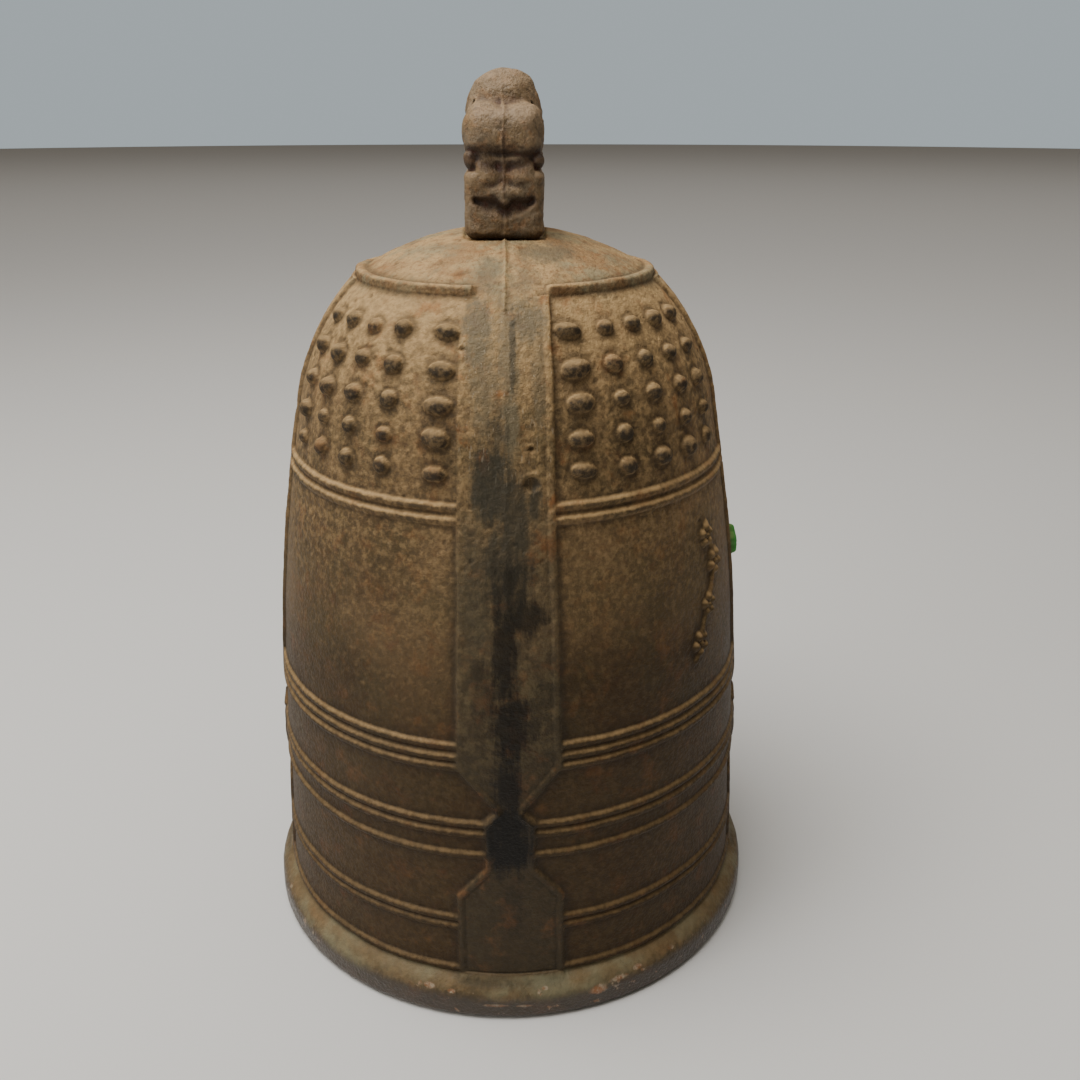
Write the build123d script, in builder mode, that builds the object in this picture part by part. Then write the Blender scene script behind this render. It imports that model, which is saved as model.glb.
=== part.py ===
from build123d import *
from math import cos, degrees, radians, sin, sqrt
import os

os.makedirs("parts", exist_ok=True)

# A small cast-iron temple bell. Millimetres, +Z up, origin at the centre of the rim's underside.
# The straps lie on -Y, +X, +Y and -X; the dragon hanger runs along Y and its eye along X.

# Bell wall, from the rim up
wall_foot_radius = 63.3
wall = 4.7
rim_overhang = 4.2
rim_bevel = 1.3
rim_face_height = 5.2
rim_height = 10.5
rim_crown_inset = 1.26
rim_crown_height = 8.25
waist_height = 40.0
waist_inset = 1.3
belly_inset = 4.0
shoulder_inset = 11.7
body_height = 182.0
shoulder_drop = 40.5
turn_inset = 5.7
turn_rise = 16.5

# Crown, inside its ridge
crown_inset = 28.3
crown_rise = 10.3
crown_thickness = 7.0
ridge_radius = 1.35

# Cords cast round the wall: heights above the rim, or drops below the top
cord_radius = 0.95
cord_sink = 0.2
upper_belt_drops = [53.0, 55.9]
middle_belt_heights = [73.8, 71.0, 68.4]
neck_belt_heights = [53.6, 51.0, 45.2]
lower_belt_heights = [26.6, 24.2]
foot_belt_height = 11.9

# Straps: long upper part, neck, and the panel on the rim
strap_proud = 0.95
strap_top_width = 19.0
strap_foot_width = 24.0
strap_tip_width = 5.6
strap_foot_height = 68.3
strap_tip_height = 57.0
strap_tip_land = 0.2
neck_width = 11.6
neck_bottom_height = 41.5
panel_width = 25.4
panel_shoulder_height = 33.3
panel_bottom_height = 9.6

# Bosses: one field of rows and columns in each quarter
boss_radius = 2.15
boss_sink = 0.3
boss_columns = 5
boss_rows = 5
boss_first_angle = 17.7
boss_second_angle = 30.6
boss_angle_pitch = 11.15
boss_top_drop = 17.9
boss_row_pitch = 7.0
boss_draft_length = 3.2
boss_draft_radius = 2.0

# Striking seats on +X and -X
seat_radius = 8.0
seat_height = 46.5
seat_proud = 1.5

# Leaf sprays beside the +X strap, measured round the wall from its middle, and the roundel on it
leaf_length = 8.2
leaf_width = 3.4
leaf_proud = 0.9
spray_distance = 27.3
spray_step = 2.1
spray_half_gap = 3.0
spray_leaf_pitch = 7.0
spray_leaf_lean = 38.0
spray_leaves = 5
roundel_width = 8.4
roundel_proud = 3.0
roundel_taper = -4.0

# Dragon hanger
hanger_width = 18.3
hanger_length = 30.0
hanger_height = 36.8
hanger_corner = 2.6
hanger_foot_round = 2.2
head_height = 14.5
brow_radius = 9.2
brow_height = 21.0
jewel_radius = 8.4
eye_radius = 6.0
eye_height = 18.5
eye_land_radius = 8.6
eye_length = 16.4
mouth_height = 7.2
mouth_width = 10.0
mouth_radius = 0.8
nostril_radius = 1.7
nostril_spread = 5.6
nostril_height = 10.8
nostril_sink = 0.6
cheek_radius = 1.9
cheek_height = 14.0
cheek_setback = 2.4
cheek_proud = 0.05
hanger_seat_clearance = 0.3

# Hidden fixings: a stud in each foot of the hanger, a washer and a nut under the crown
stud_diameter = 6.0
stud_edge_distance = 6.5
stud_grip_depth = 8.5
stud_tip_gap = 0.6
stud_tail = 2.0
stud_hole_clearance = 0.4
thread_clearance = 0.05
washer_diameter = 12.0
washer_thickness = 1.6
nut_flats = 10.0
nut_height = 5.0
nut_chamfer = 0.7
land_margin = 5.0


def wall_outline(grow):
    """The outer profile's driving points as (radius, height), grown outwards by a distance."""
    foot = wall_foot_radius + grow
    shoulder_height = body_height - shoulder_drop
    crown_height = body_height - crown_rise
    return {
        "foot": (foot, rim_height),
        "waist": (foot - waist_inset, waist_height),
        "belly": (foot - belly_inset, (waist_height + shoulder_height) / 2),
        "shoulder": (foot - shoulder_inset, shoulder_height),
        "turn": (foot - shoulder_inset - turn_inset, shoulder_height + turn_rise + grow / 2),
        "crown": (foot - crown_inset - grow / 3, crown_height + grow * 0.8),
        "top": (0, body_height + grow),
    }


def circle_through(a, b, c):
    """Centre and radius of the circle through three points of a profile."""
    d = 2 * (a[0] * (b[1] - c[1]) + b[0] * (c[1] - a[1]) + c[0] * (a[1] - b[1]))
    sa, sb, sc = (p[0] ** 2 + p[1] ** 2 for p in (a, b, c))
    x = (sa * (b[1] - c[1]) + sb * (c[1] - a[1]) + sc * (a[1] - b[1])) / d
    y = (sa * (c[0] - b[0]) + sb * (a[0] - c[0]) + sc * (b[0] - a[0])) / d
    return x, y, sqrt((a[0] - x) ** 2 + (a[1] - y) ** 2)


def surface(height):
    """Radius of the outer wall at a height, and the upward tilt of its normal in degrees."""
    p = wall_outline(0)
    if height < waist_height:
        share = (height - rim_height) / (waist_height - rim_height)
        return p["foot"][0] - waist_inset * share, 2.5
    if height < p["shoulder"][1]:
        x, y, r = circle_through(p["waist"], p["belly"], p["shoulder"])
    else:
        x, y, r = circle_through(p["shoulder"], p["turn"], p["crown"])
    rise = (height - y) / r
    out = sqrt(1 - rise * rise)
    return x + r * out, Vector(out, 0, rise).get_angle(Vector(1, 0, 0)) * (1 if rise > 0 else -1)


def wall_plane(angle, height, lift=0.0):
    """A plane on the wall: its x runs round the bell, its z points out along the wall's normal."""
    radius, tilt = surface(height)
    out = Vector(cos(radians(angle)), sin(radians(angle)), 0)
    normal = out * cos(radians(tilt)) + Vector(0, 0, sin(radians(tilt)))
    around = Vector(-out.Y, out.X, 0)
    return Plane(origin=out * radius + Vector(0, 0, height) + normal * lift, x_dir=around, z_dir=normal)


# Places that follow from the sizes
rim_radius = wall_foot_radius + rim_overhang
crown_inner_height = body_height - crown_thickness
stud_offset = hanger_length / 2 - stud_edge_distance
land_radius = stud_offset + washer_diameter / 2 + land_margin
outline = wall_outline(0)
crown_edge = outline["crown"]
crown_ball = circle_through(crown_edge, outline["top"], (-crown_edge[0], crown_edge[1]))[2]
hanger_end_drop = crown_ball - sqrt(crown_ball**2 - (hanger_length / 2) ** 2)
hanger_seat_height = body_height - hanger_end_drop - hanger_seat_clearance
belt_heights = [body_height - drop for drop in upper_belt_drops]
belt_heights += middle_belt_heights + neck_belt_heights + lower_belt_heights + [foot_belt_height]
field_heights = [body_height - boss_top_drop - boss_row_pitch * row for row in range(boss_rows)]


def add_outer_lines(points):
    """Draws the wall from its foot to its top, inside a BuildLine."""
    Line(points["foot"], points["waist"])
    ThreePointArc(points["waist"], points["belly"], points["shoulder"])
    ThreePointArc(points["shoulder"], points["turn"], points["crown"])
    x, y, r = circle_through(points["crown"], points["top"], (-points["crown"][0], points["crown"][1]))
    half = points["crown"][0] / 2
    ThreePointArc(points["crown"], (half, y + sqrt(r * r - half * half)), points["top"])


# The wall, rim and crown as one revolved shell
inner = wall_outline(-wall)
mouth_radius_at_rim = wall_foot_radius - wall + waist_inset * rim_height / waist_height
with BuildPart() as shell:
    with BuildSketch(Plane.XZ):
        with BuildLine():
            add_outer_lines(outline)
            Polyline((0, body_height), (0, crown_inner_height), (land_radius, crown_inner_height))
            Line((land_radius, crown_inner_height), inner["crown"])
            ThreePointArc(inner["crown"], inner["turn"], inner["shoulder"])
            ThreePointArc(inner["shoulder"], inner["belly"], inner["waist"])
            Polyline(inner["waist"], (mouth_radius_at_rim, 0), (rim_radius - rim_bevel, 0))
            Polyline((rim_radius - rim_bevel, 0), (rim_radius, rim_bevel), (rim_radius, rim_face_height))
            ThreePointArc(
                (rim_radius, rim_face_height),
                (rim_radius - rim_crown_inset, rim_crown_height),
                outline["foot"],
            )
        make_face()
    revolve(axis=Axis.Z)

# The thin skin that the straps are cut from
raised = wall_outline(strap_proud)
sunk = wall_outline(-wall / 3)
with BuildPart() as strap_skin:
    with BuildSketch(Plane.XZ):
        with BuildLine():
            add_outer_lines(raised)
            Line(raised["top"], sunk["top"])
            add_outer_lines(sunk)
            Polyline(
                sunk["foot"],
                (sunk["foot"][0], panel_bottom_height),
                (raised["foot"][0], panel_bottom_height),
                raised["foot"],
            )
        make_face()
    revolve(axis=Axis.Z)

# One strap outline on each vertical plane, cut right through the bell
strap_top_height = body_height - crown_rise
upper_strap = [
    (strap_top_width / 2, strap_top_height),
    (strap_foot_width / 2, strap_foot_height),
    (strap_tip_width / 2, strap_tip_height),
    (strap_tip_width / 2, strap_tip_height - strap_tip_land),
    (neck_width / 2, strap_tip_height - strap_tip_land - (neck_width - strap_tip_width) / 2),
    (neck_width / 2, neck_bottom_height),
    (panel_width / 2, panel_shoulder_height),
    (panel_width / 2, panel_bottom_height - 1),
]
mirrored = [(-x, z) for x, z in reversed(upper_strap)]
with BuildPart() as strap_zone:
    for upright in (Plane.XZ, Plane.YZ):
        with BuildSketch(upright):
            with BuildLine():
                Polyline(*upper_strap, *mirrored, close=True)
            make_face()
        extrude(amount=rim_radius, both=True)

# Cords as full rings, broken where the straps cross them
with BuildPart() as cords:
    for height in belt_heights:
        radius, tilt = surface(height)
        with BuildSketch(Plane.XZ):
            with Locations((radius - cord_sink, height)):
                Circle(cord_radius)
        revolve(axis=Axis.Z)
    with BuildSketch(Plane.XZ):
        with Locations(outline["crown"]):
            Circle(ridge_radius)
    revolve(axis=Axis.Z)
    add(strap_zone.part, mode=Mode.SUBTRACT)

# Bosses: a ball on the wall, and a pair of balls joined by a bar beside the mould's seam
boss_planes = []
draft_planes = []
for height in field_heights:
    for side in (-90, 90):
        for column in range(boss_columns):
            planes = boss_planes if column else draft_planes
            turn = boss_second_angle + boss_angle_pitch * (column - 1) if column else boss_first_angle
            for angle in (side + turn, side - turn):
                planes.append(wall_plane(angle, height, -boss_sink))

with BuildPart() as bosses:
    with Locations(*[Location(plane) for plane in boss_planes]):
        Sphere(boss_radius)
    with Locations(*[Location(plane) for plane in draft_planes]):
        with Locations((-boss_draft_length / 2, 0, 0), (boss_draft_length / 2, 0, 0)):
            Sphere(boss_draft_radius)
        Cylinder(boss_draft_radius, boss_draft_length, rotation=(0, 90, 0))

# Leaf sprays climb the wall on both sides of the +X strap
spray_middle = (belt_heights[1] + middle_belt_heights[0]) / 2
with BuildPart() as leaves:
    for side in (-1, 1):
        for step in range(spray_leaves):
            height = spray_middle + (step - (spray_leaves - 1) / 2) * spray_leaf_pitch
            middle = spray_distance + spray_step * (spray_leaves - 1 - step)
            for lean in (-1, 1):
                turn = degrees((middle + lean * spray_half_gap) / surface(height)[0])
                plane = wall_plane(side * turn, height, leaf_proud)
                with BuildSketch(plane):
                    Ellipse(leaf_length / 2, leaf_width / 2, rotation=side * lean * spray_leaf_lean)
                extrude(amount=-2 * leaf_proud)

with BuildPart() as bell_body:
    add(shell.part)
    add(strap_skin.part.intersect(strap_zone.part))
    add(cords.part)
    add(bosses.part)
    add(leaves.part)
    # striking seats
    seat_face = surface(seat_height)[0] + seat_proud
    for side in (1, -1):
        with BuildSketch(Plane.YZ.offset(side * seat_face)):
            with Locations((0, seat_height)):
                Circle(seat_radius)
        extrude(amount=-side * (seat_proud + wall / 2))
    # roundel on the +X strap
    with BuildSketch(Plane.YZ.offset(surface(spray_middle)[0] + roundel_proud)):
        with Locations((0, spray_middle)):
            Circle(roundel_width / 2)
    extrude(amount=-(roundel_proud + wall / 2), taper=roundel_taper)
    # pocket for the hanger's foot
    with BuildSketch(Plane.XY.offset(hanger_seat_height)):
        RectangleRounded(
            hanger_width + 2 * hanger_seat_clearance,
            hanger_length + 2 * hanger_seat_clearance,
            hanger_corner + hanger_seat_clearance,
        )
    extrude(amount=crown_thickness, mode=Mode.SUBTRACT)
    # stud holes
    with BuildSketch(Plane.XY.offset(crown_inner_height)):
        with Locations((0, stud_offset), (0, -stud_offset)):
            Circle(stud_diameter / 2 + stud_hole_clearance)
    extrude(amount=crown_thickness, mode=Mode.SUBTRACT)
bell_body.part.label = "bell_body"
export_step(bell_body.part, "parts/bell_body.step")

# The dragon hanger: a block with a head at each end, brows, and the jewel over the eye
eye_z = hanger_seat_height + eye_height
brow_offset = hanger_length / 2 - brow_radius
jewel_z = hanger_seat_height + hanger_height - jewel_radius
with BuildPart() as dragon_hanger:
    with BuildSketch(Plane.XY.offset(hanger_seat_height)):
        RectangleRounded(hanger_width, hanger_length, hanger_corner)
    extrude(amount=head_height)
    fillet(dragon_hanger.faces().sort_by(Axis.Z)[0].edges(), hanger_foot_round)
    with Locations((0, brow_offset, hanger_seat_height + brow_height)):
        Sphere(brow_radius)
    with Locations((0, -brow_offset, hanger_seat_height + brow_height)):
        Sphere(brow_radius)
    with Locations((0, 0, jewel_z)):
        Sphere(jewel_radius)
    with Locations((0, 0, eye_z)):
        Cylinder(eye_land_radius, eye_length, rotation=(0, 90, 0))
    for end in (-1, 1):
        face_y = end * hanger_length / 2
        for side in (-1, 1):
            nostril_y = face_y - end * nostril_sink
            with Locations((side * nostril_spread / 2, nostril_y, hanger_seat_height + nostril_height)):
                Sphere(nostril_radius)
            cheek_x = side * (hanger_width / 2 - cheek_radius + cheek_proud)
            with Locations((cheek_x, face_y - end * cheek_setback, hanger_seat_height + cheek_height)):
                Sphere(cheek_radius)
        # mouth line across the snout
        with Locations((0, face_y, hanger_seat_height + mouth_height)):
            Cylinder(mouth_radius, mouth_width, rotation=(0, 90, 0), mode=Mode.SUBTRACT)
    # flat lands round the eye, the eye itself, and the blind stud holes
    for side in (-1, 1):
        with BuildSketch(Plane.YZ.offset(side * eye_length / 2)):
            with Locations((0, eye_z)):
                Circle(eye_land_radius)
        extrude(amount=side * hanger_width, mode=Mode.SUBTRACT)
    with Locations((0, 0, eye_z)):
        Cylinder(eye_radius, 2 * hanger_width, rotation=(0, 90, 0), mode=Mode.SUBTRACT)
    with BuildSketch(Plane.XY.offset(hanger_seat_height)):
        with Locations((0, stud_offset), (0, -stud_offset)):
            Circle(stud_diameter / 2 + thread_clearance)
    extrude(amount=stud_grip_depth, mode=Mode.SUBTRACT)
dragon_hanger.part.label = "dragon_hanger"
export_step(dragon_hanger.part, "parts/dragon_hanger.step")

# Fixings, one set under each foot of the hanger
washer_bottom = crown_inner_height - washer_thickness
nut_bottom = washer_bottom - nut_height
upright_from_base = (Align.CENTER, Align.CENTER, Align.MIN)
with BuildPart() as nut_blank:
    Cylinder(nut_flats / sqrt(3) + nut_chamfer / 5, nut_height, align=upright_from_base)
    chamfer(nut_blank.edges().filter_by(GeomType.CIRCLE), nut_chamfer)
for place, side in (("front", -1), ("rear", 1)):
    with BuildPart() as stud:
        with BuildSketch(Plane.XY.offset(nut_bottom - stud_tail)):
            with Locations((0, side * stud_offset)):
                Circle(stud_diameter / 2)
        extrude(amount=hanger_seat_height + stud_grip_depth - stud_tip_gap - nut_bottom + stud_tail)
        chamfer(stud.edges().group_by(Axis.Z)[0] + stud.edges().group_by(Axis.Z)[-1], stud_diameter / 10)
    stud.part.label = place + "_stud"
    export_step(stud.part, "parts/" + place + "_stud.step")

    with BuildPart() as washer:
        with BuildSketch(Plane.XY.offset(washer_bottom)):
            with Locations((0, side * stud_offset)):
                Circle(washer_diameter / 2)
                Circle(stud_diameter / 2 + stud_hole_clearance / 2, mode=Mode.SUBTRACT)
        extrude(amount=washer_thickness)
    washer.part.label = place + "_washer"
    export_step(washer.part, "parts/" + place + "_washer.step")

    with BuildPart() as nut:
        with BuildSketch(Plane.XY.offset(nut_bottom)):
            with Locations((0, side * stud_offset)):
                RegularPolygon(nut_flats / 2, 6, major_radius=False)
                Circle(stud_diameter / 2 + thread_clearance, mode=Mode.SUBTRACT)
        extrude(amount=nut_height)
        add(nut_blank.part.moved(Location((0, side * stud_offset, nut_bottom))), mode=Mode.INTERSECT)
    nut.part.label = place + "_nut"
    export_step(nut.part, "parts/" + place + "_nut.step")
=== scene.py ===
import functools
import itertools
import math
import bpy
import numpy as np
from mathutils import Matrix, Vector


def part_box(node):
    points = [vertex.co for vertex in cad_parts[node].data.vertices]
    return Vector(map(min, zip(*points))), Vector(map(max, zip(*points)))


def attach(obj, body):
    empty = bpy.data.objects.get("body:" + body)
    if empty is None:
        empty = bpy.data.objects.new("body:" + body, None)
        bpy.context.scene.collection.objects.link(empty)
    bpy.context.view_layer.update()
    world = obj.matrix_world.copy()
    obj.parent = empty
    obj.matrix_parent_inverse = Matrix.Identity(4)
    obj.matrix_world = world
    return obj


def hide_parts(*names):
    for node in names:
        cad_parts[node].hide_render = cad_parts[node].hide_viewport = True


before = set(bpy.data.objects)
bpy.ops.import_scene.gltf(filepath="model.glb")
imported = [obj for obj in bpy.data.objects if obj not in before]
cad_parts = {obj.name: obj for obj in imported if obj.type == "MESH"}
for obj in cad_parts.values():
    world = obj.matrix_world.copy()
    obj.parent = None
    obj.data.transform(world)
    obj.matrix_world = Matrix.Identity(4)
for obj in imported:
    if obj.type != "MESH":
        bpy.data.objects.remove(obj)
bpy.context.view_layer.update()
print("frame loaded")

# Every size below is in millimetres in the frame's own axes, and becomes metres when a mesh is made.
metre = 0.001


def linearColour(hexCode, alpha=1.0):
    # sRGB hex to the linear values that the shaders take
    parts = [int(hexCode[i:i + 2], 16) / 255 for i in (1, 3, 5)]
    return [p / 12.92 if p <= 0.04045 else ((p + 0.055) / 1.055) ** 2.4 for p in parts] + [alpha]


def smoothStep(low, high, value):
    t = np.clip((value - low) / (high - low), 0, 1)
    return t * t * (3 - 2 * t)


def hashUnit(ix, iy, iz, seed):
    # one fixed number from 0 to 1 for each lattice point
    h = ix.astype(np.uint32) * np.uint32(374761393) + iy.astype(np.uint32) * np.uint32(668265263)
    h = h + iz.astype(np.uint32) * np.uint32(2147483647) + np.uint32(seed * 1274126177 % 4294967296)
    h = (h ^ (h >> np.uint32(13))) * np.uint32(1274126177)
    h = h ^ (h >> np.uint32(16))
    return h.astype(np.float64) / 4294967295.0


def lumps(points, size, seed):
    # smooth noise from -1 to 1 whose features are about size across
    q = points / size + 1000.0
    base = np.floor(q).astype(np.int64)
    f = q - base
    f = f * f * f * (f * (f * 6 - 15) + 10)
    total = 0.0
    for corner in range(8):
        step = ((corner >> 2) & 1, (corner >> 1) & 1, corner & 1)
        weight = 1.0
        for axis in range(3):
            weight = weight * (f[:, axis] if step[axis] else 1 - f[:, axis])
        total = total + weight * hashUnit(*(base[:, a] + step[a] for a in range(3)), seed)
    return total * 2 - 1


def layeredLumps(points, size, layers, seed):
    total, share = 0.0, 1.0
    for layer in range(layers):
        total = total + share * lumps(points, size / 2 ** layer, seed + layer)
        share *= 0.5
    return total


def makeMesh(name, points, faces, attributes=None):
    # faces is a list of arrays, each with one row of corner numbers for each face
    mesh = bpy.data.meshes.new(name)
    corners = np.concatenate([f.reshape(-1) for f in faces]).astype(np.int32)
    counts = np.concatenate([np.full(len(f), f.shape[1]) for f in faces]).astype(np.int32)
    mesh.vertices.add(len(points))
    mesh.vertices.foreach_set("co", (points * metre).astype(np.float32).reshape(-1))
    mesh.loops.add(len(corners))
    mesh.loops.foreach_set("vertex_index", corners)
    mesh.polygons.add(len(counts))
    mesh.polygons.foreach_set("loop_start", np.concatenate([[0], np.cumsum(counts)[:-1]]).astype(np.int32))
    mesh.polygons.foreach_set("loop_total", counts)
    mesh.polygons.foreach_set("use_smooth", np.ones(len(counts), bool))
    mesh.update(calc_edges=True)
    for key, values in (attributes or {}).items():
        layer = mesh.attributes.new(key, "FLOAT", "POINT")
        layer.data.foreach_set("value", np.asarray(values, np.float32))
    made = bpy.data.objects.new(name, mesh)
    bpy.context.scene.collection.objects.link(made)
    return made


def bandFaces(rows, columns, first=0, inward=False):
    # quads between neighbouring rings of a closed band
    i, j = np.meshgrid(np.arange(rows - 1), np.arange(columns), indexing="ij")
    near, far = i * columns + j, i * columns + (j + 1) % columns
    quads = np.stack([near, far, far + columns, near + columns], -1).reshape(-1, 4) + first
    return quads[:, ::-1] if inward else quads


def fanFaces(ring, tip, inward=False):
    fan = np.stack([ring, np.roll(ring, -1), np.full(len(ring), tip)], -1)
    return fan[:, ::-1] if inward else fan


lowBell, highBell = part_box("bell_body")
lowHanger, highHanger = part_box("dragon_hanger")

bell = {
    "rimRadius": highBell.x / metre,      # outer edge of the rim
    "wallFoot": 63.3,                     # radius where the wall meets the rim
    "wall": 4.7,                          # thickness of the casting
    "rimBevel": 1.3,
    "rimFace": 5.2,
    "rimHeight": 10.5,
    "rimRound": (1.25, 8.25),             # how far in, and how high, the rim's top curve passes
    "waist": (62.0, 40.0),                # radius and height down the profile
    "belly": (59.3, 90.75),
    "shoulder": (51.6, 141.5),
    "turn": (45.9, 158.0),
    "crown": (35.0, 171.7),
    "height": 182.0,
    "crownDrop": 2.41,                    # how far the crown has fallen halfway out
    "coreTurn": (41.2, 155.65),
    "coreCrown": (31.9, 167.94),
    "crownInner": 175.0,
    "landRadius": 19.5,
    "footHalfLength": 15.0,               # pocket in the crown for the hanger's foot
    "footGap": 0.3,
    "footCorner": 2.9,
    "columns": 960,                       # divisions round the bell
    "innerColumns": 192,
}

cords = {
    "upper": [129.0, 126.1],
    "middle": [73.8, 71.0, 68.4],
    "neck": [53.6, 51.0, 45.2],
    "lower": [26.6, 24.2],
    "foot": [11.9],
    "proud": 0.78,
    "halfWidth": 0.98,
    "ridgeProud": 1.3,
    "ridgeHalfWidth": 1.35,
    "ridgeGap": (-6.6, 9.2),              # where the front strap breaks the ridge
}

straps = {
    "proud": 0.85,
    "topWidth": 19.0, "topHeight": 171.7,
    "footWidth": 24.0, "footHeight": 68.3,
    "tipWidth": 5.6, "tipHeight": 57.0,
    "neckWidth": 11.6, "neckBottom": 41.5,
    "panelWidth": 25.4, "panelShoulder": 33.3, "panelBottom": 9.6,
    "border": 1.75,                       # width of the raised edge
    "borderDrop": 0.28,                   # how far the field lies below it
}

bosses = {
    "radius": 2.1, "sink": 0.3,
    "draftRadius": 2.15, "draftLength": 2.3,  # beside the mould's seam they are drawn out sideways
    "rows": 5, "columns": 5,
    "top": 164.1, "rowPitch": 7.0,
    "left": (16.9, 31.0, 11.2),               # angle of the first and second columns, then the pitch
    "right": (18.4, 30.3, 11.1),
}

seats = {"height": 46.5, "radius": 8.0, "proud": 1.45, "petals": 8}
roundel = {"height": 100.0, "radius": 4.2, "proud": 2.9, "petals": 5}
blossoms = {
    "stem": [(49.0, 84.0), (53.0, 92.5), (57.5, 100.0), (60.0, 107.0), (57.5, 116.5)],   # angle and height
    "flowers": [(56.8, 113.6, 0.95), (60.0, 106.2, 1.1), (55.6, 96.4, 0.95), (51.0, 88.0, 1.05)],
    "petals": 5, "petalRadius": 1.15, "petalReach": 2.0, "proud": 1.35,
}


beltNames = ("upper", "middle", "neck", "lower", "foot")
# blowholes in the front strap: across, up, radius, depth
blowholes = [(5.4, 134.3, 1.5, 0.9), (5.3, 141.6, 0.55, 0.6), (-8.9, 161.0, 0.5, 0.5)]


def arcThrough(a, b, c, count):
    # points on the circle through three points of the profile
    ax, ay, bx, by, cx, cy = *a, *b, *c
    d = 2 * (ax * (by - cy) + bx * (cy - ay) + cx * (ay - by))
    sa, sb, sc = ax * ax + ay * ay, bx * bx + by * by, cx * cx + cy * cy
    ox = (sa * (by - cy) + sb * (cy - ay) + sc * (ay - by)) / d
    oy = (sa * (cx - bx) + sb * (ax - cx) + sc * (bx - ax)) / d
    radius = math.hypot(ax - ox, ay - oy)
    turns = np.unwrap([math.atan2(p[1] - oy, p[0] - ox) for p in (a, b, c)])
    t = np.linspace(turns[0], turns[2], count)
    return np.stack([ox + radius * np.cos(t), oy + radius * np.sin(t)], -1)


def joinPath(pieces, step=0.05, soften=0.45):
    # one evenly spaced line through the pieces, its corners softened as a sand mould softens them
    raw = np.concatenate(pieces)
    keep = np.r_[True, np.hypot(*np.diff(raw, axis=0).T) > 1e-6]
    raw = raw[keep]
    s = np.r_[0, np.cumsum(np.hypot(*np.diff(raw, axis=0).T))]
    even = np.arange(0, s[-1], step)
    line = np.stack([np.interp(even, s, raw[:, k]) for k in (0, 1)], -1)
    reach = int(3 * soften / step)
    kernel = np.exp(-0.5 * (np.arange(-reach, reach + 1) * step / soften) ** 2)
    kernel /= kernel.sum()
    padded = np.concatenate([2 * line[:1] - line[reach:0:-1], line, 2 * line[-1:] - line[-2:-reach - 2:-1]])
    return np.stack([np.convolve(padded[:, k], kernel, "valid") for k in (0, 1)], -1)


def spacedRows(line, stepAt):
    # picks points along a fine line so that neighbours are stepAt(height) apart
    gaps = np.hypot(*np.diff(line, axis=0).T)
    count = np.r_[0, np.cumsum(gaps / stepAt(line[1:, 1]))]
    wanted = np.linspace(0, count[-1], int(math.ceil(count[-1])) + 1)
    return np.interp(wanted, count, np.arange(len(line)))


def strapOutline():
    s = straps
    half = [
        (s["topWidth"] / 2, s["topHeight"]),
        (s["footWidth"] / 2, s["footHeight"]),
        (s["tipWidth"] / 2, s["tipHeight"]),
        (s["neckWidth"] / 2, s["tipHeight"] - (s["neckWidth"] - s["tipWidth"]) / 2),
        (s["neckWidth"] / 2, s["neckBottom"]),
        (s["panelWidth"] / 2, s["panelShoulder"]),
        (s["panelWidth"] / 2, s["panelBottom"]),
    ]
    return np.array(half + [(-x, z) for x, z in reversed(half)])


def insideDistance(x, z, outline):
    # distance to the edge of a closed outline, above zero inside it
    best = np.full(x.shape, 1e9)
    inside = np.zeros(x.shape, bool)
    for (ax, az), (bx, bz) in zip(outline, np.roll(outline, -1, axis=0)):
        dx, dz = bx - ax, bz - az
        t = np.clip(((x - ax) * dx + (z - az) * dz) / (dx * dx + dz * dz), 0, 1)
        best = np.minimum(best, np.hypot(x - ax - t * dx, z - az - t * dz))
        if az != bz:
            crosses = ((az > z) != (bz > z)) & (x < dx * (z - az) / dz + ax)
            inside ^= crosses
    return np.where(inside, best, -best)


def segmentDistance(x, z, ax, az, bx, bz):
    dx, dz = bx - ax, bz - az
    t = np.clip(((x - ax) * dx + (z - az) * dz) / (dx * dx + dz * dz), 0, 1)
    return np.hypot(x - ax - t * dx, z - az - t * dz)


def cordShape(distance, halfWidth):
    # rounded crest with soft feet
    return np.clip(1 - (distance / (1.35 * halfWidth)) ** 2, 0, 1) ** 1.6


def bellOutline(mouth):
    # the outside as one fine line, from the mouth's edge over the rim and up to the crown's middle
    b = bell
    rimRadius, crownRadius = b["rimRadius"], b["crown"][0]
    return joinPath([
        np.array([(mouth, 0), (rimRadius - b["rimBevel"], 0), (rimRadius, b["rimBevel"])]),
        arcThrough((rimRadius, b["rimFace"]), (rimRadius - b["rimRound"][0], b["rimRound"][1]),
                   (b["wallFoot"], b["rimHeight"]), 40),
        arcThrough(b["waist"], b["belly"], b["shoulder"], 400),
        arcThrough(b["shoulder"], b["turn"], b["crown"], 200),
        arcThrough(b["crown"], (crownRadius / 2, b["height"] - b["crownDrop"]), (0, b["height"]), 200),
    ])


def outlineStep(z):
    # how far apart rows of points may be: closest at the cords, close at bosses, relief, seats and ridge
    marks = np.array([mark for key in beltNames for mark in cords[key]])
    near = np.abs(z[:, None] - marks[None, :]).min(1)
    step = np.where(near < 1.8, 0.24, 0.6)
    for low, high, finest in ((132, 168, 0.36), (78, 122, 0.42), (31, 70, 0.42), (168, 174, 0.3)):
        step = np.where((z > low) & (z < high), np.minimum(step, finest), step)
    return np.where((z >= 173) | (z < 9), 0.5, step)


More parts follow.
